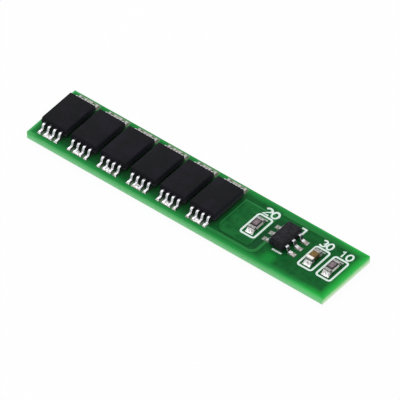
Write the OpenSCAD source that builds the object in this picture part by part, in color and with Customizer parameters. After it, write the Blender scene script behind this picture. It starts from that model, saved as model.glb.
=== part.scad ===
// Battery management board: a narrow protection board for one lithium cell.
// Six dual switch packages stand in a row, and a controller, two resistors
// and a capacitor share the right end. The origin is the middle of the
// underside: +X runs to the resistor end, +Y to the back edge, +Z up.

/* [Board] */
// Width of the board, front edge to back edge
board_w = 7; // [6.9:0.1:12]
// Thickness of the laminate
board_t = 0.8; // [0.4:0.1:1.6]
// Thickness of the copper on both faces, pours and lands alike
copper_t = 0.04; // [0.02:0.01:0.1]
// Width of the bare laminate that copper keeps from the edges
edge_keep = 0.2; // [0.1:0.05:0.3]

/* [Layout along the board] */
// Left end of the board to the first switch package
end_to_row = 2; // [1.8:0.1:4]
// One switch package to the next
row_pitch = 3.5; // [3.3:0.1:5]
// Last switch package to resistor 2
row_to_resistor = 4.7; // [4:0.1:8]
// Resistor 2 to the controller
resistor_to_controller = 3.3; // [2.9:0.05:6]
// Controller to the capacitor
controller_to_capacitor = 3.4; // [2.9:0.05:6]
// Capacitor to resistor 1
capacitor_to_resistor = 2.15; // [1.95:0.05:4]
// Resistor 1 to the right end of the board
resistor_to_end = 1.65; // [1.2:0.05:4]
// How far the switch row stands behind the middle line
row_shift = 0.1; // [0:0.05:0.2]
// How far the controller stands behind the middle line
controller_shift = 0.2; // [0:0.05:0.4]
// How far the chip parts stand behind the middle line
chip_shift = 0.05; // [0:0.05:0.2]

/* [Switch package] */
// Length of the moulded body along the row
switch_x = 3; // [2.8:0.1:3.1]
// Depth of the moulded body across the board
switch_y = 4.3; // [4:0.1:4.5]
// Height of the moulded body
switch_h = 0.95; // [0.8:0.05:1.2]
// Distance from lead to lead
switch_lead_pitch = 0.65; // [0.6:0.05:0.7]
// Width of a lead
switch_lead_w = 0.25; // [0.2:0.01:0.3]
// Flat run of a lead before its first bend
switch_shoulder = 0.2; // [0.1:0.02:0.24]
// Flat run of a lead on its land, from heel to toe
switch_foot = 0.46; // [0.35:0.01:0.5]

/* [Controller package] */
// Width of the moulded body along the board
controller_x = 1.6; // [1.5:0.05:1.7]
// Depth of the moulded body across the board
controller_y = 2.9; // [2.7:0.1:3.2]
// Height of the moulded body
controller_h = 1; // [0.9:0.05:1.2]
// Distance from lead to lead
controller_lead_pitch = 0.95; // [0.85:0.05:1]
// Width of a lead
controller_lead_w = 0.36; // [0.3:0.02:0.5]
// Flat run of a lead before its first bend
controller_shoulder = 0.08; // [0.05:0.01:0.12]
// Flat run of a lead on its land, from heel to toe
controller_foot = 0.25; // [0.2:0.01:0.35]
// Land left bare beyond the toe fillet
controller_land_out = 0.4; // [0.1:0.05:0.45]

/* [Moulding and leads] */
// How far a moulded wall leans in between the parting line and either face
draft = 0.08; // [0.04:0.01:0.15]
// Gap between a moulded body and the plane its leads stand on
standoff = 0.1; // [0.03:0.01:0.15]
// Thickness of the lead strip
lead_t = 0.13; // [0.1:0.01:0.16]
// Inner radius of both bends
bend_r = 0.07; // [0.05:0.01:0.1]
// Angle of the neck away from upright
neck_lean = 15; // [5:1:20]
// Length of a lead inside the moulding
lead_root = 0.3; // [0.2:0.05:0.5]

/* [Solder and lands] */
// Solder left between a lead and its land
solder_film = 0.015; // [0.01:0.005:0.03]
// Land left bare on each side of a lead
land_side = 0.08; // [0.06:0.01:0.1]
// Solder fillet in front of a toe
toe_fillet = 0.1; // [0.08:0.01:0.12]
// Solder fillet behind a heel
heel_fillet = 0.08; // [0.05:0.01:0.1]
// Depth of the solder that joins the two middle leads
pool_h = 0.07; // [0.04:0.01:0.1]

/* [Chip parts] */
// Length of a chip part
chip_l = 1.6; // [1.5:0.05:1.7]
// Width of a chip part
chip_w = 0.8; // [0.7:0.05:0.9]
// Height of a resistor's ceramic body
resistor_h = 0.42; // [0.35:0.01:0.5]
// Height of the capacitor
capacitor_h = 0.6; // [0.5:0.05:0.9]
// Length of the capacitor's end terminals
capacitor_terminal_l = 0.44; // [0.3:0.02:0.5]
// Length of a resistor's end terminals
terminal_l = 0.32; // [0.2:0.02:0.4]
// Thickness of an end terminal
terminal_t = 0.03; // [0.02:0.01:0.05]
// Thickness of a resistor's overcoat
overcoat_t = 0.03; // [0.02:0.01:0.05]
// Land beyond each end of a chip part
chip_land_out = 0.4; // [0.25:0.05:0.45]
// Land beside each side of a chip part
chip_land_side = 0.05; // [0.02:0.01:0.08]

/* [Copper under the mask] */
// Resistor 2 to the left side of the ground under it
pour_left = 2.9; // [1.5:0.1:3]
// Resistor 2 to the right side of the ground under it
pour_right = 0.96; // [0.94:0.01:1.1]
// Radius of the front left corner of the ground
pour_corner = 0.9; // [0.2:0.1:1]
// Front edge of the board to the ground
pour_front = 1.07; // [1:0.01:1.2]
// Back edge of the board to the ground
pour_back = 1.3; // [1.1:0.05:1.5]
// Front edge of the board to the middle of the front track
track_at = 0.62; // [0.61:0.01:0.7]
// Width of the front track
track_w = 0.32; // [0.25:0.01:0.34]
// Radius of the front track's bend
track_bend = 0.75; // [0.4:0.05:0.8]
// Width of the strip along the back edge
strip_w = 0.6; // [0.3:0.05:0.7]

/* [Silkscreen] */
// Width of a printed line
print_line = 0.2; // [0.1:0.01:0.2]
// Height of the print
print_t = 0.02; // [0.01:0.01:0.04]
// Outside width of the frame round a chip part
frame_x = 1.8; // [1.6:0.05:1.85]
// Outside depth of the frame round a chip part
frame_y = 3.1; // [3:0.05:3.4]
// Outside radius of the frame's corners
frame_r = 0.35; // [0.25:0.05:0.5]

/* [Underside lands] */
// Length of a battery or output land
tab_l = 4.2; // [3:0.1:6]
// Depth of a battery or output land
tab_w = 5; // [3:0.1:6]
// Radius of a land's corners
tab_r = 0.5; // [0.2:0.1:1]
// Land's outer side to the nearest end of the board
tab_margin = 0.8; // [0.4:0.1:2]
// Gap between the two lands of a pair
tab_gap = 1.6; // [1:0.1:4]

/* [Hidden] */
$fn = 72;
eps = 0.01;
rounding = 0.001;
bend_steps = 8;
switch_count = 6;
switch_lead_count = 4;
controller_lead_count = 3;
straight_up = 90;
straight_down = 270;
// The board is as long as what stands on it
board_l = end_to_row + (switch_count - 1) * row_pitch + row_to_resistor + resistor_to_controller
    + controller_to_capacitor + capacitor_to_resistor + resistor_to_end;
left_end = -board_l / 2;
right_end = board_l / 2;
row_end_x = left_end + end_to_row + (switch_count - 1) * row_pitch;
resistor_2_x = row_end_x + row_to_resistor;
controller_at_x = resistor_2_x + resistor_to_controller;
capacitor_x = controller_at_x + controller_to_capacitor;
resistor_1_x = capacitor_x + capacitor_to_resistor;
// Levels, from the underside up
top_z = copper_t + board_t;
land_z = top_z + copper_t;
seat_z = land_z + solder_film;
// The lands of the chip parts reach under the terminals and out past the ends
chip_land_x = chip_w + 2 * chip_land_side;
chip_land_y = terminal_l + chip_land_out;
chip_land_at = chip_l / 2 - terminal_l + chip_land_y / 2;
// Front edge of the strip along the back of the board
strip_y = board_w / 2 - edge_keep - strip_w;
// Middle of a switch package to the middle of its outermost lead
outer_lead_x = (switch_lead_count - 1) / 2 * switch_lead_pitch;
// Middle of the board to the middle of each underside land
tab_outer = board_l / 2 - tab_margin - tab_l / 2;
tab_inner = tab_outer - tab_l - tab_gap;

// ---- where things stand ----

module at_switch(i) {
    translate([left_end + end_to_row + (i - 1) * row_pitch, row_shift, 0]) children();
}

module at_controller() {
    translate([controller_at_x, controller_shift, 0]) rotate(-90) children();
}

module at_chip(x) {
    translate([x, chip_shift, 0]) children();
}

// Turns a profile drawn as distance out and height into a strip of width w
module across(w) {
    rotate([90, 0, 90]) linear_extrude(w, center = true) children();
}

// Turns a profile drawn as width and height into a bar that runs out by l
module outward(l) {
    rotate([90, 0, 0]) mirror([0, 0, 1]) linear_extrude(l) children();
}

// A flat outline centred on the origin, its corners rounded to r
module rounded_plate(x, y, r) {
    square([x - 2 * r, y], center = true);
    square([x, y - 2 * r], center = true);
    for (sx = [-1, 1], sy = [-1, 1])
        translate([sx * (x / 2 - r), sy * (y / 2 - r)]) circle(r);
}

// ---- moulded packages with gull-wing leads ----
// A package is drawn with its leads on the -Y and +Y sides.

module moulded_body(x, y, h) {
    intersection() {
        rotate([90, 0, 0]) linear_extrude(y, center = true) moulded_section(x, h);
        rotate([90, 0, 90]) linear_extrude(x, center = true) moulded_section(y, h);
    }
}

// Both halves of the mould lean in from the parting line
module moulded_section(w, h) {
    polygon([
        [-w / 2 + draft, 0], [w / 2 - draft, 0], [w / 2, h / 2],
        [w / 2 - draft, h], [-w / 2 + draft, h], [-w / 2, h / 2]
    ]);
}

module ring_sector(r, t, from, to) {
    reach = 2 * (r + t);
    intersection() {
        difference() {
            circle(r + t);
            circle(r);
        }
        polygon(concat([[0, 0]], [for (a = [from, (from + to) / 2, to]) reach * [cos(a), sin(a)]]));
    }
}

function arc(centre, r, from, to) =
    [for (k = [0:bend_steps]) let (a = from + (to - from) * k / bend_steps) centre + r * [cos(a), sin(a)]];

// Side view of a lead: distance out from the body, height above the seating plane
module lead_side(rise, shoulder, foot) {
    reach = heel_out(rise, shoulder) + foot;
    turn = straight_up - neck_lean;
    outer_r = bend_r + lead_t;
    knee = [shoulder, rise - lead_t / 2 - bend_r];
    heel = [heel_out(rise, shoulder) + lead_t / 2, outer_r];
    polygon(concat(
        [[-lead_root, rise + lead_t / 2]],
        arc(knee, outer_r, straight_up, straight_up - turn),
        arc(heel, bend_r, straight_down - turn, straight_down),
        [[reach, lead_t], [reach, 0]],
        arc(heel, outer_r, straight_down, straight_down - turn),
        arc(knee, bend_r, straight_up - turn, straight_up),
        [[-lead_root, rise - lead_t / 2]]
    ));
}

// Distance from the body to the heel, rounded so that lead, solder and land share one figure
function heel_out(rise, shoulder) =
    let (turn = straight_up - neck_lean, mid_r = bend_r + lead_t / 2)
    round_off(shoulder + 2 * mid_r * sin(turn)
        + (rise - lead_t / 2 - 2 * mid_r * (1 - cos(turn))) / tan(turn) - lead_t / 2);

function round_off(x) = round(x / rounding) * rounding;

function lead_x(i, n, pitch) = (i - (n - 1) / 2) * pitch;

// Places its children at both rows of leads, looking out from the body
module each_side(y) {
    for (side = [0, 180])
        rotate(side) translate([0, y / 2, seat_z]) children();
}

module gull_leads(n, pitch, w, y, h, shoulder, foot) {
    each_side(y)
        for (i = [0:n - 1])
            translate([lead_x(i, n, pitch), 0, 0])
                across(w) lead_side(standoff + h / 2, shoulder, foot);
}

module lead_pockets(n, pitch, w, y, h) {
    each_side(y)
        for (i = [0:n - 1])
            translate([lead_x(i, n, pitch) - w / 2, -lead_root, standoff + h / 2 - lead_t / 2])
                cube([w, lead_root + eps, lead_t]);
}

// ---- lands and solder ----

// A quarter fillet in the corner at the origin, hollow side towards +X and +Y
module hollow_fillet(r) {
    difference() {
        square(r);
        translate([r, r]) circle(r);
    }
}

// Side view of the solder: a film over the whole land, and a fillet at heel and toe
module solder_side(heel, reach, past) {
    start = heel - heel_fillet;
    translate([start, -solder_film]) square([reach + toe_fillet + past - start, solder_film]);
    translate([heel, 0]) mirror([1, 0]) hollow_fillet(heel_fillet);
    translate([heel, 0]) square([reach - heel, toe_fillet]);
    translate([reach, 0]) hollow_fillet(toe_fillet);
}

// End view of the solder round a run of leads that share one land
module solder_end(n, pitch, w) {
    half = (n - 1) * pitch / 2 + w / 2;
    translate([-half - land_side, -solder_film]) square([2 * (half + land_side), solder_film]);
    for (s = [0, 1])
        mirror([s, 0]) translate([half, 0]) hollow_fillet(land_side);
    if (n > 1) {
        translate([-half, 0]) square([2 * half, pool_h]);
    }
    for (i = [0:n - 1])
        translate([lead_x(i, n, pitch) - w / 2, 0]) square([w, toe_fillet]);
}

// One joint: the two views crossed, with room for the leads that stand in it.
// Its land runs on past the toe fillet by past.
module solder_joint(n, pitch, w, h, shoulder, foot, past) {
    heel = heel_out(standoff + h / 2, shoulder);
    reach = heel + foot;
    difference() {
        intersection() {
            across((n - 1) * pitch + w + 2 * land_side) solder_side(heel, reach, past);
            outward(reach + toe_fillet + past) solder_end(n, pitch, w);
        }
        for (i = [0:n - 1])
            translate([lead_x(i, n, pitch), 0, 0])
                across(w) lead_side(standoff + h / 2, shoulder, foot);
    }
}

module joint_land(n, pitch, w, y, h, shoulder, foot, past) {
    start = heel_out(standoff + h / 2, shoulder) - heel_fillet;
    wide = (n - 1) * pitch + w + 2 * land_side;
    translate([-wide / 2, y / 2 + start]) square([wide, heel_fillet + foot + toe_fillet + past]);
}

// ---- switch package ----

module mosfet_body(i) {
    color([0.13, 0.13, 0.15]) at_switch(i) difference() {
        translate([0, 0, seat_z + standoff]) moulded_body(switch_x, switch_y, switch_h);
        lead_pockets(switch_lead_count, switch_lead_pitch, switch_lead_w, switch_y, switch_h);
    }
}

module mosfet_leads(i) {
    color([0.86, 0.87, 0.88]) at_switch(i)
        gull_leads(switch_lead_count, switch_lead_pitch, switch_lead_w, switch_y, switch_h,
            switch_shoulder, switch_foot);
}

// The two outer leads have a land each, the two middle ones share one
module mosfet_solder(i) {
    color([0.8, 0.81, 0.82]) at_switch(i) each_side(switch_y) {
        for (s = [-1, 1])
            translate([s * outer_lead_x, 0, 0])
                solder_joint(1, switch_lead_pitch, switch_lead_w, switch_h, switch_shoulder, switch_foot, 0);
        solder_joint(2, switch_lead_pitch, switch_lead_w, switch_h, switch_shoulder, switch_foot, 0);
    }
}

module mosfet_land_shapes() {
    for (side = [0, 180]) rotate(side) {
        for (s = [-1, 1])
            translate([s * outer_lead_x, 0])
                joint_land(1, switch_lead_pitch, switch_lead_w, switch_y, switch_h,
                    switch_shoulder, switch_foot, 0);
        joint_land(2, switch_lead_pitch, switch_lead_w, switch_y, switch_h,
            switch_shoulder, switch_foot, 0);
    }
}

// ---- controller package ----

module controller_body() {
    color([0.16, 0.16, 0.18]) at_controller() difference() {
        translate([0, 0, seat_z + standoff]) moulded_body(controller_y, controller_x, controller_h);
        lead_pockets(controller_lead_count, controller_lead_pitch, controller_lead_w,
            controller_x, controller_h);
    }
}

module controller_leads() {
    color([0.86, 0.87, 0.88]) at_controller()
        gull_leads(controller_lead_count, controller_lead_pitch, controller_lead_w, controller_x,
            controller_h, controller_shoulder, controller_foot);
}

module controller_solder() {
    color([0.8, 0.81, 0.82]) at_controller() each_side(controller_x)
        for (i = [0:controller_lead_count - 1])
            translate([lead_x(i, controller_lead_count, controller_lead_pitch), 0, 0])
                solder_joint(1, controller_lead_pitch, controller_lead_w, controller_h,
                    controller_shoulder, controller_foot, controller_land_out);
}

module controller_land_shapes() {
    for (side = [0, 180]) rotate(side)
        for (i = [0:controller_lead_count - 1])
            translate([lead_x(i, controller_lead_count, controller_lead_pitch), 0])
                joint_land(1, controller_lead_pitch, controller_lead_w, controller_x,
                    controller_h, controller_shoulder, controller_foot, controller_land_out);
}

// ---- chip resistors and capacitor ----
// A chip part lies along Y with its terminals at the ends.

module chip_ceramic(h) {
    translate([-chip_w / 2, -chip_l / 2 + terminal_t, seat_z + terminal_t])
        cube([chip_w, chip_l - 2 * terminal_t, h]);
}

// Each terminal wraps the end of the ceramic from top to underside
module wrapped_terminals(h) {
    for (side = [0, 180]) rotate(side)
        difference() {
            translate([-chip_w / 2, chip_l / 2 - terminal_l, seat_z])
                cube([chip_w, terminal_l, h + 2 * terminal_t]);
            chip_ceramic(h);
        }
}

module resistor_ceramic(x) {
    color([0.93, 0.93, 0.9]) at_chip(x) chip_ceramic(resistor_h);
}

// The overcoat fills the top between the terminals
module resistor_overcoat(x) {
    color([0.12, 0.12, 0.13]) at_chip(x)
        translate([-chip_w / 2, -chip_l / 2 + terminal_l, seat_z + terminal_t + resistor_h])
            cube([chip_w, chip_l - 2 * terminal_l, overcoat_t]);
}

module resistor_terminals(x) {
    color([0.85, 0.86, 0.87]) at_chip(x) wrapped_terminals(resistor_h);
}

// The capacitor's terminals cap its body on five sides
module capacitor_body() {
    color([0.62, 0.47, 0.27]) at_chip(capacitor_x) capacitor_block();
}

module capacitor_block() {
    translate([-chip_w / 2 + terminal_t, -chip_l / 2 + terminal_t, seat_z + terminal_t])
        cube([chip_w - 2 * terminal_t, chip_l - 2 * terminal_t, capacitor_h - 2 * terminal_t]);
}

module capacitor_terminals() {
    color([0.85, 0.86, 0.87]) at_chip(capacitor_x)
        for (side = [0, 180]) rotate(side)
            difference() {
                translate([-chip_w / 2, chip_l / 2 - capacitor_terminal_l, seat_z])
                    cube([chip_w, capacitor_terminal_l, capacitor_h]);
                capacitor_block();
            }
}

// A film under the terminal, and a fillet that climbs its end face
module chip_solder(x, climb) {
    color([0.82, 0.83, 0.84]) at_chip(x)
        for (side = [0, 180]) rotate(side) {
            translate([-chip_land_x / 2, chip_land_at - chip_land_y / 2, land_z])
                cube([chip_land_x, chip_land_y, solder_film]);
            translate([0, chip_l / 2, seat_z]) across(chip_w) hollow_fillet(min(climb, chip_land_out));
        }
}

module chip_land_shapes() {
    for (side = [0, 180]) rotate(side)
        translate([-chip_land_x / 2, chip_land_at - chip_land_y / 2])
            square([chip_land_x, chip_land_y]);
}

// ---- board, copper and print ----

module at_each_switch() {
    for (i = [1:switch_count]) at_switch(i) children();
}

module land_shapes() {
    at_each_switch() mosfet_land_shapes();
    at_controller() controller_land_shapes();
    for (x = [resistor_1_x, resistor_2_x, capacitor_x])
        at_chip(x) chip_land_shapes();
}

module component_lands() {
    color([0.78, 0.79, 0.8]) translate([0, 0, top_z]) linear_extrude(copper_t) land_shapes();
}

// The copper that shows through the mask as raised ground
module pour_shape() {
    left = resistor_2_x - pour_left;
    right = resistor_2_x + pour_right;
    front = -board_w / 2 + pour_front;
    back = board_w / 2 - pour_back;
    translate([left + pour_corner, front]) square([right - left - pour_corner, back - front]);
    translate([left, front + pour_corner]) square([right - left, back - front - pour_corner]);
    translate([left + pour_corner, front + pour_corner]) circle(pour_corner);
}

// The track from the last switch package round to the controller's front left land
module track_shape() {
    y = -board_w / 2 + track_at;
    start = row_end_x + outer_lead_x + switch_lead_w / 2;
    turn_x = controller_at_x - controller_x / 2
        - heel_out(standoff + controller_h / 2, controller_shoulder) - controller_foot - toe_fillet
        + track_w / 2;
    pad_y = controller_shift - controller_lead_pitch;
    translate([start, y - track_w / 2]) square([turn_x - track_bend - start, track_w]);
    translate([turn_x - track_bend, y + track_bend])
        ring_sector(track_bend - track_w / 2, track_w, 270, 360);
    translate([turn_x - track_w / 2, y + track_bend]) square([track_w, pad_y - y - track_bend]);
}

// The strip behind the controller that runs to the right end
module strip_shape() {
    start = resistor_2_x + pour_right;
    translate([start, strip_y])
        square([right_end - edge_keep - start, strip_w]);
}

module circuit_board() {
    color([0.1, 0.5, 0.25]) {
        translate([left_end, -board_w / 2, copper_t]) cube([board_l, board_w, board_t]);
        translate([0, 0, top_z - eps]) linear_extrude(copper_t + eps) difference() {
            union() {
                pour_shape();
                track_shape();
                strip_shape();
            }
            land_shapes();
        }
    }
}

module frame_print() {
    difference() {
        rounded_plate(frame_x, frame_y, frame_r);
        rounded_plate(frame_x - 2 * print_line, frame_y - 2 * print_line, frame_r - print_line);
    }
}

// A line before the controller, and behind it a stroke with a short foot at its far end
module controller_print() {
    half = controller_x / 2 - draft;
    front = controller_shift - controller_y / 2;
    back = controller_shift + controller_y / 2;
    foot_y = strip_y - 1.5 * print_line;
    translate([controller_at_x, 0]) {
        translate([-half / 2, front - print_line]) square([1.5 * half, print_line]);
        translate([half - 3 * print_line, foot_y]) square([3 * print_line, print_line]);
        translate([half - print_line, back]) square([print_line, foot_y - back]);
    }
}

module silkscreen() {
    color([0.93, 0.97, 0.95]) {
        translate([0, 0, land_z]) linear_extrude(print_t) at_chip(resistor_2_x) frame_print();
        translate([0, 0, top_z]) linear_extrude(print_t) {
            at_chip(resistor_1_x) frame_print();
            at_chip(capacitor_x) frame_print();
            controller_print();
        }
    }
}

// ---- lands on the underside ----

module tab_land(x) {
    color([0.8, 0.8, 0.81]) translate([x, 0, 0]) linear_extrude(copper_t) rounded_plate(tab_l, tab_w, tab_r);
}

module battery_negative_land() tab_land(-tab_outer);
module output_negative_land() tab_land(-tab_inner);
module output_positive_land() tab_land(tab_inner);
module battery_positive_land() tab_land(tab_outer);

circuit_board();
component_lands();
silkscreen();
battery_negative_land();
output_negative_land();
battery_positive_land();
output_positive_land();
mosfet_body(1);  // mosfet_body_1
mosfet_body(2);  // mosfet_body_2
mosfet_body(3);  // mosfet_body_3
mosfet_body(4);  // mosfet_body_4
mosfet_body(5);  // mosfet_body_5
mosfet_body(6);  // mosfet_body_6
mosfet_leads(1);  // mosfet_leads_1
mosfet_leads(2);  // mosfet_leads_2
mosfet_leads(3);  // mosfet_leads_3
mosfet_leads(4);  // mosfet_leads_4
mosfet_leads(5);  // mosfet_leads_5
mosfet_leads(6);  // mosfet_leads_6
mosfet_solder(1);  // mosfet_solder_1
mosfet_solder(2);  // mosfet_solder_2
mosfet_solder(3);  // mosfet_solder_3
mosfet_solder(4);  // mosfet_solder_4
mosfet_solder(5);  // mosfet_solder_5
mosfet_solder(6);  // mosfet_solder_6
controller_body();
controller_leads();
controller_solder();
resistor_ceramic(resistor_1_x);  // resistor_1_ceramic
resistor_overcoat(resistor_1_x);  // resistor_1_overcoat
resistor_terminals(resistor_1_x);  // resistor_1_terminals
chip_solder(resistor_1_x, resistor_h);  // resistor_1_solder
resistor_ceramic(resistor_2_x);  // resistor_2_ceramic
resistor_overcoat(resistor_2_x);  // resistor_2_overcoat
resistor_terminals(resistor_2_x);  // resistor_2_terminals
chip_solder(resistor_2_x, resistor_h);  // resistor_2_solder
capacitor_body();
capacitor_terminals();
chip_solder(capacitor_x, capacitor_h / 2);  // capacitor_solder
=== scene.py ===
from math import cos, hypot, pi, radians, sin

import bmesh
import bpy
from mathutils import Matrix, Vector, noise


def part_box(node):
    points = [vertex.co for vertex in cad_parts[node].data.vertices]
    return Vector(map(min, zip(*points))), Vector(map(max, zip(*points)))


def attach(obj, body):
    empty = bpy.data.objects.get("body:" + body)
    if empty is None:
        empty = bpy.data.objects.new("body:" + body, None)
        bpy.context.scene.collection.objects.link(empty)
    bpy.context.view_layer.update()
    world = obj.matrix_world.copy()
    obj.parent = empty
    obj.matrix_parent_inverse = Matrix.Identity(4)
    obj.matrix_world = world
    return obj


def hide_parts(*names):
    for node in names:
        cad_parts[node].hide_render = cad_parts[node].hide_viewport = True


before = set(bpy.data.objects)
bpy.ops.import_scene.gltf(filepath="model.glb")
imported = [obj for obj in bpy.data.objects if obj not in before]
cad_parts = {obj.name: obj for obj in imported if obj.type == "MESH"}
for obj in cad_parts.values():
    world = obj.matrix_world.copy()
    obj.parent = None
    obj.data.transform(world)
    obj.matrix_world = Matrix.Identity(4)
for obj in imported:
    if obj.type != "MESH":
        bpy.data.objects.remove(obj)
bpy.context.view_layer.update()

# Sizes are in millimetres, in the frame of the construction model, and turned to metres when a piece is done.
MM = 0.001


def corners(node):
    low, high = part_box(node)
    return low / MM, high / MM


def middle(node):
    low, high = corners(node)
    return (low + high) / 2


# ---------------------------------------------------------------- nodes of the finishes

# Places of the colour sockets of a Mix node
MIX_FIRST, MIX_SECOND, MIX_OUT = 6, 7, 2


class Value:
    """A socket that takes part in arithmetic, which adds its Math nodes."""

    def __init__(self, nodes, socket):
        self.nodes, self.socket = nodes, socket

    def output(self, name):
        """Another output of the same node."""
        return Value(self.nodes, self.socket.node.outputs[name])

    def maths(self, operation, *others, swap=False):
        terms = [self, *others]
        if swap:
            terms.reverse()
        return self.nodes.node("ShaderNodeMath", {"operation": operation}, dict(enumerate(terms)))

    def __add__(self, other): return self.maths("ADD", other)
    def __radd__(self, other): return self.maths("ADD", other)
    def __sub__(self, other): return self.maths("SUBTRACT", other)
    def __rsub__(self, other): return self.maths("SUBTRACT", other, swap=True)
    def __mul__(self, other): return self.maths("MULTIPLY", other)
    def __rmul__(self, other): return self.maths("MULTIPLY", other)
    def __truediv__(self, other): return self.maths("DIVIDE", other)
    def __rtruediv__(self, other): return self.maths("DIVIDE", other, swap=True)
    def __abs__(self): return self.maths("ABSOLUTE")
    def largest(self, other): return self.maths("MAXIMUM", other)
    def smallest(self, other): return self.maths("MINIMUM", other)

    def ramp(self, start, end, low=0.0, high=1.0):
        """Eases from low to high while the value goes from start to end."""
        return self.nodes.node("ShaderNodeMapRange", {"interpolation_type": "SMOOTHSTEP"},
                               {"Value": self, "From Min": start, "From Max": end,
                                "To Min": low, "To Max": high})

    def until(self, end, soft):
        """1 up to end, easing to 0 over the width soft on both sides of it."""
        return self.ramp(end - soft, end + soft, 1.0, 0.0)

    def band(self, start, end, soft):
        """1 between start and end, easing to 0 over the width soft outside and inside each."""
        return self.ramp(start - soft, start + soft) * self.until(end, soft)


class Nodes:
    """The nodes of a material or of the world, each made by one method."""

    def __init__(self, owner):
        owner.use_nodes = True
        self.tree = owner.node_tree
        self.tree.nodes.clear()

    def node(self, kind, settings=None, sockets=None, out=0):
        """A new node with its settings, then the values or links of its sockets. Gives one of its outputs, or
        the node itself where it has none."""
        made = self.tree.nodes.new(kind)
        for key, value in (settings or {}).items():
            setattr(made, key, value)
        for key, value in (sockets or {}).items():
            self.feed(made.inputs[key], value)
        return Value(self, made.outputs[out]) if len(made.outputs) else made

    def feed(self, socket, value):
        if isinstance(value, Value):
            self.tree.links.new(value.socket, socket)
        else:
            socket.default_value = value


class Finish(Nodes):
    """A material under construction, with its main shader."""

    def __init__(self, name, **shader):
        self.material = bpy.data.materials.new(name)
        super().__init__(self.material)
        self.shader = self.node("ShaderNodeBsdfPrincipled")
        self.surface = self.node("ShaderNodeOutputMaterial", sockets={0: self.shader})
        for socket, value in shader.items():
            self.set(socket.replace("_", " "), value)
        self.place = self.node("ShaderNodeTexCoord", out="Object")

    def set(self, socket, value):
        self.feed(self.shader.socket.node.inputs[socket], value)

    def stretched(self, *scale):
        """Object coordinates times a scale for each axis."""
        scale = scale if len(scale) == 3 else scale * 3
        return self.node("ShaderNodeVectorMath", {"operation": "MULTIPLY"}, {0: self.place, 1: scale})

    def split(self, vector):
        x = self.node("ShaderNodeSeparateXYZ", sockets={0: vector})
        return x, x.output("Y"), x.output("Z")

    def axes(self):
        """The place on the piece in millimetres, as three values."""
        return self.split(self.stretched(1 / MM))

    def facing(self):
        """The way the surface faces, as three values."""
        return self.split(self.place.output("Normal"))

    def grain(self, size, detail=3.0, roughness=0.5, stretch=(1, 1, 1)):
        """Noise from 0 to 1 whose features are about size millimetres across."""
        return self.node("ShaderNodeTexNoise", {"noise_dimensions": "3D"},
                         {"Vector": self.stretched(*(s / MM / size for s in stretch)), "Scale": 1.0,
                          "Detail": detail, "Roughness": roughness})

    def mix(self, amount, first, second):
        """first where amount is 0, second where it is 1; colours are written as sRGB 0 to 255."""
        sockets = {0: amount}
        for key, colour in ((MIX_FIRST, first), (MIX_SECOND, second)):
            sockets[key] = colour if isinstance(colour, Value) else (*linear(colour), 1)
        return self.node("ShaderNodeMix", {"data_type": "RGBA", "clamp_factor": True}, sockets, out=MIX_OUT)

    def bump(self, height, distance, normal=None):
        """A bump of that many millimetres at full height."""
        sockets = {"Height": height, "Distance": distance * MM, "Strength": 1.0}
        if normal is not None:
            sockets["Normal"] = normal
        return self.node("ShaderNodeBump", sockets=sockets)


def linear(colour):
    """Linear colour from sRGB 0 to 255."""
    return tuple(v / 255 / 12.92 if v <= 10 else ((v / 255 + 0.055) / 1.055) ** 2.4 for v in colour)


def sideways(f, most):
    """Mask of painted side shade: 0 where the surface looks up, forwards or back, rising to most where it looks
    to the left or right.
    """
    return abs(f.facing()[0]).ramp(0.45, 0.9, 0.0, most)


# ---------------------------------------------------------------- green board

# Places on its upper face: along from the left end, deep from the front edge, aside from the middle line of
# the nearest package, rims from the nearest edge. A pair is where something starts and where it ends
ROW_END = 20.9, 21.4
BETWEEN_DEEP, BEHIND_DEEP, BEHIND_ASIDE = (1.0, 6.1), (1.05, 6.1), 1.18
BACK_FLUX_DEEP, BACK_FLUX_ASIDE = (6.15, 6.86), 1.25
FRONT_FLUX_DEEP, FRONT_FLUX_ASIDE = (0.5, 1.0), 1.12
GROUND_LEFT_OF_CHIP, GROUND_RIGHT_OF_CHIP = 2.9, 0.96
GROUND_FRONT, GROUND_FROM_BACK, GROUND_CORNER = 1.07, 1.3, 0.9
LIT_DEEP, DARK_DEEP = (1.4, 2.2), (1.2, 1.7)
BARE_WIDTH, BARE_DEEP = 0.9, (1.1, 5.6)
THIN_ALONG, THIN_DEEP = (26.9, 28.3), (1.2, 2.4)
TRACK_FADE, RIM_FADE, EDGE_FADE, CUT_FADE = (28, 33), (30, 34.6), (24, 34.4), (26, 34.6)
LEFT_END, FRESH_END = (0.2, 1.4), (31.0, 34.4)
WIDE_RIM, NARROW_RIM, FRESH_RIM = (0.2, 0.85), (0.05, 0.3), (0.1, 1.0)

# Its colours, as sRGB 0 to 255
MASK = (14, 84, 36), (22, 97, 45)
MASK_ON_COPPER = (18, 90, 40), (28, 108, 52)
# A painted highlight along the outline of the ground, and a dark line before its front
OUTLINE_HIGHLIGHT, DARK_OUTLINE = (66, 150, 90), (10, 66, 30)
BARE_STRIP, THIN_PATCH = (20, 72, 40), (24, 142, 56)
RAISED_COPPER = (46, 126, 66)
# Painted shade on the mask between the packages and behind their leads
SHADE_BETWEEN_PACKAGES, SHADE_BEHIND_LEADS = (27, 74, 39), (42, 56, 46)
RIM_LEFT, RIM_RIGHT = (33, 130, 60), (34, 142, 60)
# A painted highlight along the very edge of the upper face
EDGE_HIGHLIGHT_LEFT, EDGE_HIGHLIGHT_MIDDLE, EDGE_HIGHLIGHT_RIGHT = (104, 208, 128), (42, 160, 74), (66, 216, 104)
FRESH_RIGHT = (36, 178, 62)
FLUX_ON_BACK_LANDS, FLUX_ON_FRONT_LANDS = (154, 160, 138), (128, 140, 120)
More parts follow.
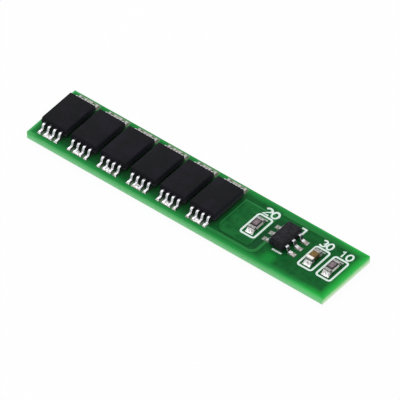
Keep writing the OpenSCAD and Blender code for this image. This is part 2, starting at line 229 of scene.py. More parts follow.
# Pale laminate of the cut sides, with painted light making the lower part paler
CUT_LOW_GLOW, CUT_HIGH_LEFT, CUT_HIGH_RIGHT = (140, 214, 154), (76, 178, 98), (90, 208, 112)
GLASS_STREAK, RESIN_STREAK = (158, 200, 164), (52, 146, 74)
# The two ends of the laminate, painted paler as painted light
LIT_END_LOW, LIT_END_HIGH = (218, 250, 208), (74, 200, 96)
MASK_LIP = (34, 136, 58)


class Board(Finish):
    """Green mask over copper and bare laminate, with the pale cut sides of the laminate round it."""

    def __init__(self):
        super().__init__("green_mask", Specular_IOR_Level=0.04)
        low, high = self.low, self.high = corners("circuit_board")
        x, y, self.z = self.axes()
        self.along, self.deep = x - low.x, y - low.y
        self.edge = (high.x - abs(x)).smallest(high.y - abs(y))
        self.upper = self.z.ramp(low.z + 0.3, low.z + 0.5)
        self.cloud = self.grain(1.6) - 0.5
        self.patch = self.grain(0.55, roughness=0.6)

        first, last = middle("mosfet_body_1").x, middle("mosfet_body_6").x
        pitch = (last - first) / 5
        place = (self.along - (first - low.x)) / pitch
        self.aside = abs((place + 0.5).maths("FRACT") - 0.5) * pitch
        self.row = self.along.ramp(*ROW_END, 1.0, 0.0) * self.upper

        tint = self.mix(self.patch.ramp(0.32, 0.68), *MASK)
        for layer in (self.copper, self.shadows, self.rim, self.flux):
            tint = layer(tint)
        layers = self.grain(0.12, roughness=0.6, stretch=(0.1, 0.1, 1.0))
        nx, _, nz = self.facing()
        side = 1 - abs(nz).ramp(0.3, 0.8)
        self.set("Base Color", self.mix(side, tint, self.cut(layers, nx)))
        self.set("Roughness", side.ramp(0, 1, 0.3, 0.62))
        peel = self.bump(self.grain(0.35, 2.0), 0.004)
        self.set("Normal", self.bump(layers * side, 0.012, peel))

    def copper(self, tint):
        """Copper under the mask, and the mask beside it."""
        along, deep, upper = self.along, self.deep, self.upper

        # Ground round resistor 2, its front left corner rounded, with a painted highlight along its outline and
        # a dark front line
        chip = middle("resistor_2_ceramic").x - self.low.x
        left, right = chip - GROUND_LEFT_OF_CHIP, chip + GROUND_RIGHT_OF_CHIP
        back = self.high.y - self.low.y - GROUND_FROM_BACK
        p, q = left + GROUND_CORNER - along, GROUND_FRONT + GROUND_CORNER - deep
        corner = (p.largest(0) * p.largest(0) + q.largest(0) * q.largest(0)).maths("SQRT") - GROUND_CORNER
        outside = (corner + p.largest(q).smallest(0)).largest(deep - back).largest(along - right)
        ground = outside.until(0.0, 0.02) * upper
        lit = outside.band(-0.12, 0.0, 0.03) * deep.ramp(*LIT_DEEP) * upper
        dark = outside.band(0.0, 0.14, 0.04) * deep.ramp(*DARK_DEEP, 1.0, 0.0) * upper
        tint = self.mix(ground, tint, self.mix(self.patch.ramp(0.3, 0.7), *MASK_ON_COPPER))
        tint = self.mix(lit * 0.55, tint, OUTLINE_HIGHLIGHT)
        tint = self.mix(dark * 0.8, tint, DARK_OUTLINE)

        # Bare laminate between the ground and the controller, and a thinner patch of mask before the controller
        bare = along.band(right, right + BARE_WIDTH, 0.12) * deep.band(*BARE_DEEP, 0.15) * upper
        thin = (along + self.cloud * 1.5).band(*THIN_ALONG, 0.5) * deep.ramp(*THIN_DEEP, 1.0, 0.0) * upper
        tint = self.mix(bare * 0.75, tint, BARE_STRIP)
        tint = self.mix(thin * 0.85, tint, THIN_PATCH)

        # Track and back strip, which stand up outside the ground
        raised = self.z.ramp(self.high.z - 0.03, self.high.z - 0.01) * (1 - ground)
        return self.mix(raised * along.ramp(*TRACK_FADE, 0.85, 0.3), tint, RAISED_COPPER)

    def shadows(self, tint):
        """Painted shade on the mask between the packages, near black behind their leads."""
        between = self.row * self.deep.band(*BETWEEN_DEEP, 0.35)
        behind = self.row * self.aside.until(BEHIND_ASIDE, 0.06) * self.deep.band(*BEHIND_DEEP, 0.12)
        # Painted shade between the packages, then darker painted shade behind their leads
        tint = self.mix(between * 0.85, tint, SHADE_BETWEEN_PACKAGES)
        return self.mix(behind * 0.9, tint, SHADE_BEHIND_LEADS)

    def rim(self, tint):
        """Mask over bare laminate along the edges, which is thinner and brighter, with a painted highlight
        along the very edge.
        """
        along, edge, cloud = self.along, self.edge, self.cloud
        wide = (edge + cloud * 0.35).ramp(*WIDE_RIM, 1.0, 0.0)
        narrow = (edge + cloud * 0.1).ramp(*NARROW_RIM, 1.0, 0.0)
        fresh = along.ramp(*FRESH_END) * (edge + cloud * 0.4).ramp(*FRESH_RIM, 1.0, 0.0)
        left_part = self.mix(along.ramp(*LEFT_END), EDGE_HIGHLIGHT_LEFT, EDGE_HIGHLIGHT_MIDDLE)
        tint = self.mix(wide, tint, self.mix(along.ramp(*RIM_FADE), RIM_LEFT, RIM_RIGHT))
        # Painted highlight along the very edge
        tint = self.mix(narrow * 0.5, tint, self.mix(along.ramp(*EDGE_FADE), left_part, EDGE_HIGHLIGHT_RIGHT))
        return self.mix(fresh * 0.5, tint, FRESH_RIGHT)

    def flux(self, tint):
        """Dried flux in patches over the row's lands."""
        strewn = self.patch.ramp(0.25, 0.6, 0.4, 1.0) * self.row
        behind = self.aside.until(BACK_FLUX_ASIDE, 0.12) * self.deep.band(*BACK_FLUX_DEEP, 0.08)
        before = (self.aside + self.cloud * 0.3).until(FRONT_FLUX_ASIDE, 0.1)
        before = before * self.deep.band(*FRONT_FLUX_DEEP, 0.08)
        tint = self.mix(strewn * behind * 0.95, tint, FLUX_ON_BACK_LANDS)
        return self.mix(strewn * before * 0.6, tint, FLUX_ON_FRONT_LANDS)

    def cut(self, layers, nx):
        """Cut sides: streaks of glass and resin in pale laminate, with painted light making them paler towards
        the underside and at the two ends, under a thin lip of mask."""
        depth = (self.z - self.low.z) / (self.high.z - self.low.z)
        high = self.mix(self.along.ramp(*CUT_FADE), CUT_HIGH_LEFT, CUT_HIGH_RIGHT)
        # Painted light makes the lower part of the cut sides paler
        tint = self.mix((depth + (layers - 0.5) * 0.5).ramp(0.0, 0.9), CUT_LOW_GLOW, high)
        tint = self.mix(layers.ramp(0.54, 0.68) * 0.35, tint, GLASS_STREAK)
        tint = self.mix(layers.ramp(0.3, 0.44, 1.0, 0.0) * 0.4, tint, RESIN_STREAK)
        # The ends are painted paler as painted light
        end = self.mix((depth + (layers - 0.5) * 0.3).ramp(0.05, 0.85), LIT_END_LOW, LIT_END_HIGH)
        tint = self.mix(abs(nx).ramp(0.4, 0.8), tint, end)
        return self.mix(depth.ramp(0.86, 0.97) * 0.6, tint, MASK_LIP)


# ---------------------------------------------------------------- other finishes

# Places: x past the row, y at the back of the row, z of the upper face and of the leads above it; then from
# the controller's middle, its left side, its right toes and the rims of its lands
PAST_ROW, BACK_OF_ROW, UPPER_FACE, LEAD_LEVELS = (6.0, 8.0), (2.3, 2.6), (0.3, 0.5), (0.4, 1.1)
CONTROLLER_LEFT, CONTROLLER_TOES, CONTROLLER_RIMS = (-2.2, -1.0), (1.5, 1.85), (0.8, 2.2)

# Colours
# Epoxy of the switches, and their ends painted lighter as painted light
SWITCH_EPOXY, LIT_SWITCH_END = ((20, 21, 24), (27, 25, 33)), (32, 33, 39)
# A painted highlight on the parting line, and painted light on the downward faces of the lower half
PARTING_HIGHLIGHT, LIT_LOWER_HALF = (62, 64, 70), (58, 58, 62)
CONTROLLER_EPOXY = (28, 27, 32), (46, 46, 50)
# A pinkish film, then painted shade on the faces of tin and solder that look left or right
BLUSH, SIDE_SHADE_ON_METAL = (176, 146, 150), (60, 60, 64)
FLUX_ON_ROW, FLUX_BESIDE_CONTROLLER = (138, 138, 122), (112, 118, 104)
SPENT_TOES, MASK_RIM = (128, 116, 116), (92, 118, 98)
# Fired tin of the caps, a painted highlight on a crown, and painted shade on the sides
CAP_METAL, CAP_CROWN_HIGHLIGHT, CAP_SIDE_SHADE = ((172, 172, 170), (118, 116, 116)), (234, 228, 222), (64, 62, 62)
INK = (206, 236, 222), (236, 246, 242)
# Painted shade on the sides of the tan ceramic
CERAMIC_SIDE_SHADE = (34, 30, 14)
GLAZE, GLAZE_CROWN = (22, 18, 22), ((142, 124, 130), (108, 92, 98))


def black_moulding():
    """Moulded epoxy: near black, matt, with a fine even grain; on the switches the ends are painted lighter and
    the downward faces of the lower half paler, both as painted light, with a painted highlight on the parting
    line at the ends; the controller is a little greyer and speckled."""
    f = Finish("black_moulding", Specular_IOR_Level=0.07)
    x, _, z = f.axes()
    nx, _, nz = f.facing()
    fine = f.grain(0.035, roughness=0.7)
    row = f.mix(f.grain(1.3).ramp(0.35, 0.65), *SWITCH_EPOXY)
    # The ends are painted lighter as painted light
    row = f.mix(abs(nx).ramp(0.5, 0.9), row, LIT_SWITCH_END)
    # Painted highlight on the parting line at the ends
    parting = (z - middle("mosfet_body_1").z).band(-0.04, 0.04, 0.02)
    row = f.mix(abs(nx).ramp(0.2, 0.5) * parting, row, PARTING_HIGHLIGHT)
    # Painted light on the downward faces of the lower half
    row = f.mix(nz.ramp(-0.16, -0.04, 1.0, 0.0), row, LIT_LOWER_HALF)
    controller = f.mix(f.grain(0.3, roughness=0.7).ramp(0.35, 0.65), *CONTROLLER_EPOXY)
    f.set("Base Color", f.mix(x.ramp(*PAST_ROW), row, controller))
    f.set("Roughness", fine.ramp(0.2, 0.8, 0.5, 0.68))
    f.set("Normal", f.bump(fine, 0.006))
    return f.material


def metal(name, bright, dull, size, depth, roughness, swing, flux, shade=0.0, bare=False, blush=0.0):
    """Tin or solder: bright and dull patches of about that size, whose roughness is the given one plus or minus
    swing, and a slight unevenness of that depth. Flux dulls the back of the row and both sides of the
    controller, shade is painted shade on the faces that look left or right, and blush is a pinkish film in
    patches. On bare lands the rims round the controller's joints are dulled too."""
    f = Finish(name, Metallic=1.0)
    x, y, z = f.axes()
    beside = x - middle("controller_body").x
    patches = f.grain(size, roughness=0.6)
    tint = f.mix(patches.ramp(0.34, 0.66), bright, dull)
    if blush:
        tint = f.mix(f.grain(0.3, 2.0).ramp(0.56, 0.66) * blush, tint, BLUSH)
    left = beside.band(*CONTROLLER_LEFT, 0.1)
    worn = y.ramp(*BACK_OF_ROW).largest(left) * z.band(*LEAD_LEVELS, 0.1)
    haze = f.mix(left, FLUX_ON_ROW, FLUX_BESIDE_CONTROLLER)
    tint = f.mix(worn * flux * patches.ramp(0.3, 0.6, 0.7, 1.0), tint, haze)
    spent = beside.band(*CONTROLLER_TOES, 0.1) * patches.ramp(0.3, 0.5, 0.4, 1.0) * z.ramp(*UPPER_FACE)
    tint = f.mix(spent * flux, tint, SPENT_TOES)
    if bare:
        rim = abs(beside).band(*CONTROLLER_RIMS, 0.1) * z.ramp(*UPPER_FACE)
        tint, worn = f.mix(rim * 0.9, tint, MASK_RIM), worn.largest(rim)
    if shade:
        # Painted shade on the faces that look left or right
        tint = f.mix(sideways(f, shade), tint, SIDE_SHADE_ON_METAL)
    f.set("Base Color", tint)
    f.set("Metallic", 1 - worn * flux * 0.75)
    f.set("Roughness", patches.ramp(0.25, 0.75, roughness - swing, roughness + swing))
    f.set("Normal", f.bump(patches, depth))
    return f.material


def end_caps():
    """Fired tin of the chip parts: grey and matt, with a painted highlight on the crown of the capacitor's
    front cap and painted shade on the faces that look left or right.
    """
    f = Finish("chip_terminal", Metallic=1.0)
    x, y, _ = f.axes()
    _, _, nz = f.facing()
    patches = f.grain(0.14, roughness=0.6)
    tint = f.mix(patches.ramp(0.34, 0.66), *CAP_METAL)
    at = middle("capacitor_terminals")
    capacitor, front = (x - at.x).band(-0.6, 0.6, 0.1), (at.y - 0.05 - y).band(0.3, 0.62, 0.06)
    # Painted highlight on the crown of the capacitor's front cap
    tint = f.mix(capacitor * nz.ramp(0.6, 0.9) * front, tint, CAP_CROWN_HIGHLIGHT)
    # Painted shade on the faces that look left or right
    f.set("Base Color", f.mix(sideways(f, 0.55), tint, CAP_SIDE_SHADE))
    f.set("Roughness", patches.ramp(0.25, 0.75, 0.34, 0.54))
    f.set("Normal", f.bump(patches, 0.008))
    return f.material


def white_print():
    """Screened ink: flat white with a cool cast, thinner in places."""
    f = Finish("white_print", Specular_IOR_Level=0.3)
    ink = f.grain(0.12)
    f.set("Base Color", f.mix(ink.ramp(0.3, 0.62), *INK))
    f.set("Roughness", ink.ramp(0.2, 0.8, 0.5, 0.7))
    f.set("Normal", f.bump(ink, 0.005))
    return f.material


def fired_ceramic(name, pale, deep, speckle, shade=0.0):
    """Fired ceramic: an even body colour with fine darker specks; shade is painted shade on the sides that look
    left or right.
    """
    f = Finish(name, Specular_IOR_Level=0.2)
    body = f.grain(0.25)
    specks = f.node("ShaderNodeTexVoronoi", {"feature": "F1"},
                    {"Vector": f.stretched(1 / MM / 0.05), "Scale": 1.0}, out="Distance")
    tint = f.mix(body.ramp(0.3, 0.7), pale, deep)
    tint = f.mix(specks.ramp(0.12, 0.3, 1.0, 0.0) * 0.6, tint, speckle)
    if shade:
        # Painted shade on the sides that look left or right
        tint = f.mix(sideways(f, shade), tint, CERAMIC_SIDE_SHADE)
    f.set("Base Color", tint)
    f.set("Roughness", body.ramp(0.2, 0.8, 0.42, 0.58))
    f.set("Normal", f.bump(specks, 0.003))
    return f.material


def black_glaze():
    """Glazed overcoat of a resistor: black, pinkish grey on its crown."""
    f = Finish("black_glaze", Specular_IOR_Level=0.3)
    x, y, _ = f.axes()
    one, two = middle("resistor_1_overcoat"), middle("resistor_2_overcoat")
    size = corners("resistor_1_overcoat")[1] - corners("resistor_1_overcoat")[0]
    aside = abs(abs(x - (one.x + two.x) / 2) - abs(one.x - two.x) / 2)
    border = (size.x / 2 - aside).smallest(size.y / 2 - abs(y - one.y))
    flow = f.grain(0.16)
    crown = (border + (flow - 0.5) * 0.12).ramp(0.1, 0.2)
    f.set("Base Color", f.mix(crown, GLAZE, f.mix(flow.ramp(0.3, 0.7), *GLAZE_CROWN)))
    f.set("Roughness", flow.ramp(0.2, 0.8, 0.3, 0.5))
    f.set("Normal", f.bump(flow, 0.006))
    return f.material


FINISHES = {
    "green_board": Board().material,
    "black_moulding": black_moulding(),
    "tinned_lead": metal("tinned_lead", bright=(236, 236, 240), dull=(190, 190, 196), size=0.09, depth=0.004,
                         roughness=0.3, swing=0.08, flux=0.6, shade=0.85),
    "solder": metal("solder", bright=(240, 243, 240), dull=(148, 144, 144), size=0.16, depth=0.03,
                    roughness=0.26, swing=0.1, flux=0.85, shade=0.5, blush=0.6),
    "tinned_land": metal("tinned_land", bright=(214, 213, 211), dull=(178, 175, 171), size=0.9, depth=0.016,
                         roughness=0.34, swing=0.06, flux=0.8, bare=True),
    "chip_terminal": end_caps(),
    "white_print": white_print(),
    "white_ceramic": fired_ceramic("white_ceramic", (232, 231, 226), (220, 218, 212), (196, 194, 188)),
    "tan_ceramic": fired_ceramic("tan_ceramic", (130, 103, 54), (102, 80, 42), (76, 57, 30), shade=0.8),
    "black_glass": black_glaze(),
}


# ---------------------------------------------------------------- shared shapes

def piece(shape, name, slot, replaced=(), sharp=35):
    """Turns a finished shape into a piece of the object, in metres, smooth up to the sharp angle."""
    bmesh.ops.scale(shape, vec=(MM, MM, MM), verts=shape.verts)
    mesh = bpy.data.meshes.new(name)
    shape.to_mesh(mesh)
    shape.free()
    mesh.shade_smooth()
    mesh.set_sharp_from_angle(angle=radians(sharp))
    mesh.materials.append(FINISHES[slot])
    made = bpy.data.objects.new(name, mesh)
    bpy.context.scene.collection.objects.link(made)
    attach(made, "root")
    if replaced:
        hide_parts(*replaced)


def whole(shape):
    return shape.verts[:] + shape.edges[:] + shape.faces[:]


def verts_of(geometry):
    return [g for g in geometry if isinstance(g, bmesh.types.BMVert)]


def turned(shape, verts, angle, axis="Z"):
    bmesh.ops.rotate(shape, cent=(0, 0, 0), matrix=Matrix.Rotation(angle, 3, axis), verts=verts)


def round_edges(shape, edges, radius, segments=3):
    bmesh.ops.bevel(shape, geom=edges, offset=radius, segments=segments, profile=0.5,
                    affect="EDGES", material=-1)


def corner_edges(shape):
    """Edges where two faces meet at more than 40 degrees."""
    return [e for e in shape.edges if len(e.link_faces) == 2 and e.calc_face_angle() > radians(40)]


def skirt(shape, rim, depth):
    """A low wall from the rim down, which closes the border against what lies under it."""
    wall = bmesh.ops.extrude_edge_only(shape, edges=rim)["geom"]
    bmesh.ops.translate(shape, vec=(0, 0, -depth), verts=verts_of(wall))


def block(shape, low, high, radius, segments=3):
    """A rounded block from one corner to the other, added to shape."""
    low, high = Vector(low), Vector(high)
    made = bmesh.ops.create_cube(shape, size=1.0)["verts"]
    bmesh.ops.scale(shape, vec=high - low, verts=made)
    bmesh.ops.translate(shape, vec=(low + high) / 2, verts=made)
    round_edges(shape, list({e for v in made for e in v.link_edges}), radius, segments)


# ---------------------------------------------------------------- packages with leads

# Lead strip, the same for both kinds of package: thickness, inside radius of a bend, lean of the neck from
# upright, length inside the moulding, softened edge, steps of a bend, points that are one
STRIP = 0.13
BEND = 0.07
LEAN = radians(15)
ROOT = 0.25
LEAD_EDGE = 0.022
BEND_STEPS = 8
WELD = 1e-4

# Solder: film under a lead, land left at the sides, toe and heel of a foot, height against a foot and how far
# it spreads past its land, height and ripple of the pool between two feet, width of the drawn-in border, how
# uneven the surface is, size and least number of its mesh's cells, and its wall
FILM = 0.015
LAND_SIDE, LAND_TOE, LAND_HEEL = 0.08, 0.1, 0.08
CLIMB, SPREAD = 0.12, 0.03
POOL, RIPPLE, RIPPLES = 0.075, 0.1, 9
DRAWN_IN = 0.05
LUMP, LUMPS = 0.16, 5
CELL, LEAST_ACROSS, LEAST_ALONG = 0.035, 8, 10
WALL = 0.006

# Each kind of package: leads on a side, their pitch and width, run from the wall to the first bend, slope and
# rounding of the moulding, leads that share a land, turn from the Y axis, land beside a foot and before its toe
SWITCH = dict(count=4, pitch=0.65, width=0.25, shoulder=0.2, draft=0.08, radius=0.05,
              groups=([0], [1, 2], [3]), turn=0.0, side=LAND_SIDE, ahead=LAND_TOE)
CONTROLLER = dict(count=3, pitch=0.95, width=0.36, shoulder=0.08, draft=0.08, radius=0.06,
                  groups=([0], [1], [2]), turn=-pi / 2, side=0.02, ahead=LAND_TOE + 0.34)


def moulding(name, node, draft, radius):
    """A package body: both halves lean in from the parting line, with rounded corners."""
    low, high = corners(node)
    size = high - low
    shape = bmesh.new()
    bmesh.ops.create_cube(shape, size=1.0)
    bmesh.ops.scale(shape, vec=size, verts=shape.verts)
    bmesh.ops.bisect_plane(shape, geom=whole(shape), plane_co=(0, 0, 0), plane_no=(0, 0, 1))
    ends = [v for v in shape.verts if abs(v.co.z) > size.z / 4]
    bmesh.ops.scale(shape, vec=(1 - 2 * draft / size.x, 1 - 2 * draft / size.y, 1), verts=ends)
    round_edges(shape, corner_edges(shape), radius)
    bmesh.ops.translate(shape, vec=(low + high) / 2, verts=shape.verts)
    piece(shape, name, "black_moulding", (node,))


def bent_lead(width, wall, mid, seat, toe, shoulder):
    """A gull-wing lead at x 0 that leaves a wall towards +Y at height mid and lies on seat, with both bends
    turned round their own centres. Gives its shape and the place of its heel."""
    shape = bmesh.new()
    bmesh.ops.create_grid(shape, x_segments=1, y_segments=1, size=0.5)
    bmesh.ops.scale(shape, vec=(width, STRIP, 1), verts=shape.verts)
    turned(shape, shape.verts, pi / 2, "X")
    bmesh.ops.translate(shape, vec=(0, wall - ROOT, mid), verts=shape.verts)
    end = whole(shape)

    def run(length, angle):
        nonlocal end
        if length > 0:
            face = [g for g in end if isinstance(g, bmesh.types.BMFace)]
            end = bmesh.ops.extrude_face_region(shape, geom=face)["geom"]
            step = (0, length * cos(angle), -length * sin(angle))
            bmesh.ops.translate(shape, vec=step, verts=verts_of(end))

    def bend(centre, angle):
        nonlocal end
        end = bmesh.ops.spin(shape, geom=end, cent=centre, axis=(1, 0, 0), angle=angle,
                             steps=BEND_STEPS, use_merge=False, use_duplicate=False)["geom_last"]

    turn = pi / 2 - LEAN
    radius = BEND + STRIP / 2
    drop = mid - seat - STRIP / 2
    neck = (drop - 2 * radius * (1 - cos(turn))) / sin(turn)
    heel = wall + shoulder + 2 * radius * sin(turn) + neck * cos(turn)
    run(ROOT + shoulder, 0)
    bend((0, wall + shoulder, mid - radius), -turn)
    run(neck, turn)
    bend((0, heel, seat + STRIP / 2 + radius), turn)
    run(toe - heel, 0)
    bmesh.ops.remove_doubles(shape, verts=shape.verts, dist=WELD)
    bmesh.ops.recalc_face_normals(shape, faces=shape.faces)
    round_edges(shape, corner_edges(shape), LEAD_EDGE, segments=2)
    return shape, heel - STRIP / 2


def solder_joint(shape, feet, width, heel, toe, seat, side, ahead, behind=LAND_HEEL, climb=CLIMB, seed=0):
    """Solder on one land, round feet that stand at these x places: it sinks away from each foot, fills the
    space between two and is drawn in at the border of the land. Added to shape, towards +Y."""
    left, right = feet[0] - width / 2 - side, feet[-1] + width / 2 + side
    back, front = heel - behind, toe + ahead
    grid = bmesh.ops.create_grid(shape, x_segments=max(LEAST_ACROSS, round((right - left) / CELL)),
                                 y_segments=max(LEAST_ALONG, round((front - back) / CELL)), size=0.5)["verts"]
    bmesh.ops.scale(shape, vec=(right - left, front - back, 1), verts=grid)
    bmesh.ops.translate(shape, vec=((left + right) / 2, (back + front) / 2, seat - FILM), verts=grid)
    rim = [e for e in {e for v in grid for e in v.link_edges} if e.is_boundary]
    for v in grid:
        x, y = v.co.x, v.co.y
        near = min(hypot(max(abs(x - foot) - width / 2, 0), max(heel - y, y - toe, 0)) for foot in feet)
        height = FILM + climb * max(0.0, 1 - near / (ahead + SPREAD)) ** 2
        if feet[0] < x < feet[-1]:
            height = max(height, FILM + POOL * (1 - RIPPLE + RIPPLE * cos(RIPPLES * y)))
        border = min(x - left, right - x, y - back, front - y)
        drawn = 1 - (1 - min(1.0, border / DRAWN_IN)) ** 2
        lump = noise.noise(Vector((x * LUMPS + seed, y * LUMPS, seed * 0.7)))
        v.co.z += height * (1 + LUMP * lump) * drawn
    skirt(shape, rim, WALL)


def both_sides(shape, at, turn=0.0):
    """Copies what was drawn towards +Y to the -Y side, then sets it in its place on the board."""
    copy = bmesh.ops.duplicate(shape, geom=whole(shape))["geom"]
    turned(shape, verts_of(copy), pi)
    turned(shape, shape.verts, turn)
    bmesh.ops.translate(shape, vec=(at.x, at.y, 0), verts=shape.verts)


def package(label, body, leads, solder, *, count, pitch, width, shoulder, draft, radius, groups, turn,
            side, ahead):
    """Dresses one package: moulding, bent leads and solder."""
    moulding(label + "_moulding", body, draft, radius)
    at = middle(body)
    low, high = corners(body)
    out_low, out_high = corners(leads)
    seat, top = out_low.z, out_high.z
    axis = 0 if turn else 1
    wall, toe = (high[axis] - low[axis]) / 2, (out_high[axis] - out_low[axis]) / 2
    places = [(i - (count - 1) / 2) * pitch for i in range(count)]
    one, heel = bent_lead(width, wall, top - STRIP / 2, seat, toe, shoulder)
    pattern = bpy.data.meshes.new("lead")
    one.to_mesh(pattern)
    one.free()
    row = bmesh.new()
    for x in places:
        row.from_mesh(pattern)
        row.verts.ensure_lookup_table()
        bmesh.ops.translate(row, vec=(x, 0, 0), verts=row.verts[len(row.verts) - len(pattern.vertices):])
    bpy.data.meshes.remove(pattern)
    both_sides(row, at, turn)
    piece(row, label + "_leads", "tinned_lead", (leads,))
    joints = bmesh.new()
    for k, group in enumerate(groups):
        solder_joint(joints, [places[i] for i in group], width, heel, toe, seat, side, ahead,
                     seed=at.x + 3 * k)
    both_sides(joints, at, turn)
    piece(joints, label + "_joints", "solder", (solder,), sharp=60)


for i in range(1, 7):
    package(f"switch_{i}", f"mosfet_body_{i}", f"mosfet_leads_{i}", f"mosfet_solder_{i}", **SWITCH)
package("controller", "controller_body", "controller_leads", "controller_solder", **CONTROLLER)


# ---------------------------------------------------------------- chip parts

# How far the body stays inside its solid, rounding of body and caps. The foot that the solder climbs is
# narrower than the caps and ends short of them, with land beside it and behind its heel
BODY_INSET = Vector((0.004, 0.02, 0.004))
BODY_RADIUS, CAP_RADIUS = 0.035, 0.055
FOOT_INSET, FOOT_SHORT, FOOT_SIDE, FOOT_BACK = 0.08, 0.03, 0.09, 0.02

# Overcoat of a resistor: height, width of its curved shoulder, depth sunk in the body, cells of its mesh
COAT_HEIGHT, COAT_SHOULDER, COAT_SUNK = 0.055, 0.16, 0.02
COAT_CELLS = 14, 16


def overcoat_of(label, node, at):
    """The low domed coat on a resistor."""
    low, high = corners(node)
    wide, deep = high.x - low.x, high.y - low.y
    coat = bmesh.new()
    bmesh.ops.create_grid(coat, x_segments=COAT_CELLS[0], y_segments=COAT_CELLS[1], size=0.5)
    bmesh.ops.scale(coat, vec=(wide, deep, 1), verts=coat.verts)
    for v in coat.verts:
        border = min(wide / 2 - abs(v.co.x), deep / 2 - abs(v.co.y))
        v.co.z = COAT_HEIGHT * (1 - (1 - min(1.0, border / COAT_SHOULDER)) ** 2) ** 0.5
    skirt(coat, [e for e in coat.edges if e.is_boundary], COAT_SUNK)
    bmesh.ops.translate(coat, vec=(at.x, at.y, low.z), verts=coat.verts)
    piece(coat, label + "_overcoat", "black_glass", (node,), sharp=60)


def chip(label, body, slot, wrap, climb, overcoat=None):
    """Dresses a chip part that lies along Y: body, capped ends that wrap it that far, solder and, on a
    resistor, the overcoat."""
    terminals, solder = label + "_terminals", label + "_solder"
    low, high = corners(body)
    out_low, out_high = corners(terminals)
    at = middle(terminals)
    shape = bmesh.new()
    block(shape, low + BODY_INSET, high - BODY_INSET, BODY_RADIUS)
    piece(shape, label + "_block", slot, (body,))
    caps = bmesh.new()
    for near, far in ((out_low.y, out_low.y + wrap), (out_high.y - wrap, out_high.y)):
        block(caps, (out_low.x, near, out_low.z), (out_high.x, far, out_high.z), CAP_RADIUS, segments=4)
    piece(caps, label + "_caps", "chip_terminal", (terminals,))
    end = (out_high.y - out_low.y) / 2
    reach = (corners(solder)[1].y - corners(solder)[0].y) / 2 - end
    fillets = bmesh.new()
    solder_joint(fillets, [0.0], out_high.x - out_low.x - FOOT_INSET, end - wrap, end - FOOT_SHORT,
                 out_low.z, FOOT_SIDE, reach + FOOT_SHORT, FOOT_BACK, climb, seed=at.x)
    both_sides(fillets, at)
    piece(fillets, label + "_fillets", "solder", (solder,), sharp=60)
    if overcoat:
        overcoat_of(label, overcoat, at)


for label in ("resistor_1", "resistor_2"):
    chip(label, label + "_ceramic", "white_ceramic", wrap=0.32, climb=0.36, overcoat=label + "_overcoat")
chip("capacitor", "capacitor_body", "tan_ceramic", wrap=0.44, climb=0.4)


# ---------------------------------------------------------------- printed numbers

# Width of a numeral of height 1, its share of the step to the next one, and the steps that the last one takes;
# width of a stroke, its thickness once flattened, and how far its middle is sunk
NUMERAL_WIDTH, NUMERAL_SHARE = 0.62, 0.78
LAST_NUMERAL = NUMERAL_WIDTH * 1.05
STROKE, STROKE_THICKNESS, STROKE_SUNK = 0.24, 0.1, 0.03


def oval(cx, cy, rx, ry, start, end, steps=14):
    return [(cx + rx * cos(radians(start + (end - start) * k / steps)),
             cy + ry * sin(radians(start + (end - start) * k / steps))) for k in range(steps + 1)]


# Strokes of each numeral, in a box of that width and height
NUMERALS = {
    "0": [oval(0.31, 0.5, 0.31, 0.5, 90, 450, 28)],
    "1": [[(0.12, 0.78), (0.34, 1.0), (0.34, 0.0)]],
    "2": [oval(0.31, 0.7, 0.3, 0.3, 165, -25) + [(0.0, 0.0), (0.62, 0.0)]],
    "3": [oval(0.29, 0.75, 0.28, 0.25, 150, -90), oval(0.29, 0.26, 0.32, 0.26, 90, -155)],
}


def number(text, left, right, low, high, level):
    """A plain number in ink: flattened strokes, partly sunk in what they are printed on."""
    name = "print_number_" + text
    line = bpy.data.curves.new(name, "CURVE")
    line.dimensions = "3D"
    line.bevel_depth, line.bevel_resolution, line.use_fill_caps = STROKE / 2, 3, True
    step = (right - left - STROKE) / (len(text) - 1 + LAST_NUMERAL)
    stretch = step * NUMERAL_SHARE / NUMERAL_WIDTH
    for k, sign in enumerate(text):
        for stroke in NUMERALS[sign]:
            spline = line.splines.new("POLY")
            spline.points.add(len(stroke) - 1)
            for point, (u, v) in zip(spline.points, stroke):
                point.co = (left + STROKE / 2 + k * step + u * stretch,
                            low + STROKE / 2 + v * (high - low - STROKE), 0, 1)
    drawn = bpy.data.objects.new(name + "_line", line)
    mesh = bpy.data.meshes.new_from_object(drawn)
    shape = bmesh.new()
    shape.from_mesh(mesh)
    bpy.data.objects.remove(drawn)
    bpy.data.curves.remove(line)
    bpy.data.meshes.remove(mesh)
    bmesh.ops.scale(shape, vec=(1, 1, STROKE_THICKNESS / STROKE), verts=shape.verts)
    bmesh.ops.translate(shape, vec=(0, 0, level - STROKE_SUNK), verts=shape.verts)
    piece(shape, name, "white_print")


# Each number with its reach along and deep, and the level it is printed on: raised copper or plain mask
board_low, board_high = corners("circuit_board")
plain_mask = corners("component_lands")[0].z
for text, along, deep, level in (("20", (23.42, 25.08), (5.14, 6.24), board_high.z),
                                 ("30", (30.05, 31.45), (5.14, 6.2), plain_mask),
                                 ("10", (32.25, 33.75), (5.14, 6.18), plain_mask)):
    number(text, board_low.x + along[0], board_low.x + along[1], board_low.y + deep[0], board_low.y + deep[1],
           level)


# ---------------------------------------------------------------- construction nodes that stay

KEPT = {"circuit_board": "green_board", "component_lands": "tinned_land", "silkscreen": "white_print",
        "battery_negative_land": "tinned_land", "output_negative_land": "tinned_land",
        "output_positive_land": "tinned_land", "battery_positive_land": "tinned_land"}
for node, slot in KEPT.items():
    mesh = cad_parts[node].data
    mesh.materials.clear()
    mesh.materials.append(FINISHES[slot])


# ---------------------------------------------------------------- floor, light and camera, in metres

WHITE = (1, 1, 1, 1)
SKY_LIGHT = 0.72
FLOOR_SIZE, FLOOR_DROP = 2.0, 1e-5
FLOOR_GLOW = 0.9


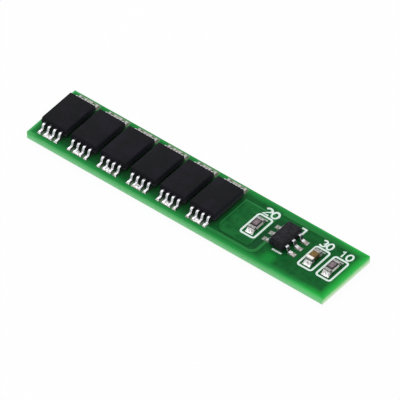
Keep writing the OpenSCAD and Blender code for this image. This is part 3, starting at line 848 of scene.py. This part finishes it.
def seen_directly(nodes):
    """1 for camera, mirror and see-through rays, so that metal shows the same white as the background."""
    ray = nodes.node("ShaderNodeLightPath", out="Is Camera Ray")
    return ray.largest(ray.output("Is Glossy Ray")).largest(ray.output("Is Transmission Ray"))


world = bpy.data.worlds.new("studio")
bpy.context.scene.world = world
sky = Nodes(world)
lit = sky.node("ShaderNodeBackground", sockets={"Color": WHITE, "Strength": SKY_LIGHT})
shown = sky.node("ShaderNodeBackground", sockets={"Color": WHITE})
either = sky.node("ShaderNodeMixShader", sockets={0: seen_directly(sky), 1: lit, 2: shown})
sky.node("ShaderNodeOutputWorld", sockets={0: either})

pale = Finish("pale_floor", Roughness=0.9, Specular_IOR_Level=0.0)
pale.set("Base Color", pale.mix(pale.grain(8.0, 2.0).ramp(0.3, 0.7), (248, 248, 248), (251, 251, 251)))
glow = pale.node("ShaderNodeEmission")
seen = seen_directly(pale) * FLOOR_GLOW
blend = pale.node("ShaderNodeMixShader", sockets={0: seen, 1: pale.shader, 2: glow})
pale.feed(pale.surface.inputs[0], blend)

plane = bmesh.new()
bmesh.ops.create_grid(plane, x_segments=1, y_segments=1, size=FLOOR_SIZE)
bmesh.ops.translate(plane, vec=(0, 0, -FLOOR_DROP), verts=plane.verts)
floor_mesh = bpy.data.meshes.new("floor")
plane.to_mesh(floor_mesh)
plane.free()
floor_mesh.materials.append(pale.material)
floor = bpy.data.objects.new("floor", floor_mesh)
bpy.context.scene.collection.objects.link(floor)


def lamp(name, place, size, power):
    """A square lamp that shines at the middle of the scene."""
    light = bpy.data.lights.new(name, "AREA")
    light.shape, light.size, light.energy = "SQUARE", size, power
    holder = bpy.data.objects.new(name, light)
    bpy.context.scene.collection.objects.link(holder)
    holder.location = place
    holder.rotation_euler = (-Vector(place)).to_track_quat("-Z", "Y").to_euler()


lamp("overhead_box", place=(-0.08, -0.02, 0.4), size=0.6, power=0.62)
lamp("key_box", place=(-0.25, 0.12, 0.4), size=0.12, power=0.12)

# The camera stands far off with a long lens, aimed a little to the right of the board's middle and below it
AZIMUTH, ELEVATION = radians(38.816), radians(44.561)
DISTANCE, SENSOR, LENS = 1.4, 36.0, 1375.2
AIM_HEIGHT, AIM_ACROSS, AIM_DOWN = 0.5 * MM, 0.209 * MM, 0.347 * MM
back = Vector((sin(AZIMUTH) * cos(ELEVATION), -cos(AZIMUTH) * cos(ELEVATION), sin(ELEVATION)))
across = Vector((cos(AZIMUTH), sin(AZIMUTH), 0))
aim = Vector((0, 0, AIM_HEIGHT)) + across * AIM_ACROSS - back.cross(across) * AIM_DOWN
view = bpy.data.cameras.new("camera")
view.sensor_width, view.lens = SENSOR, LENS
view.clip_start, view.clip_end = 0.05, 20.0
camera = bpy.data.objects.new("camera", view)
bpy.context.scene.collection.objects.link(camera)
camera.location = aim + back * DISTANCE
camera.rotation_euler = (-back).to_track_quat("-Z", "Y").to_euler()
bpy.context.scene.camera = camera
bpy.context.scene.view_settings.view_transform = "Standard"
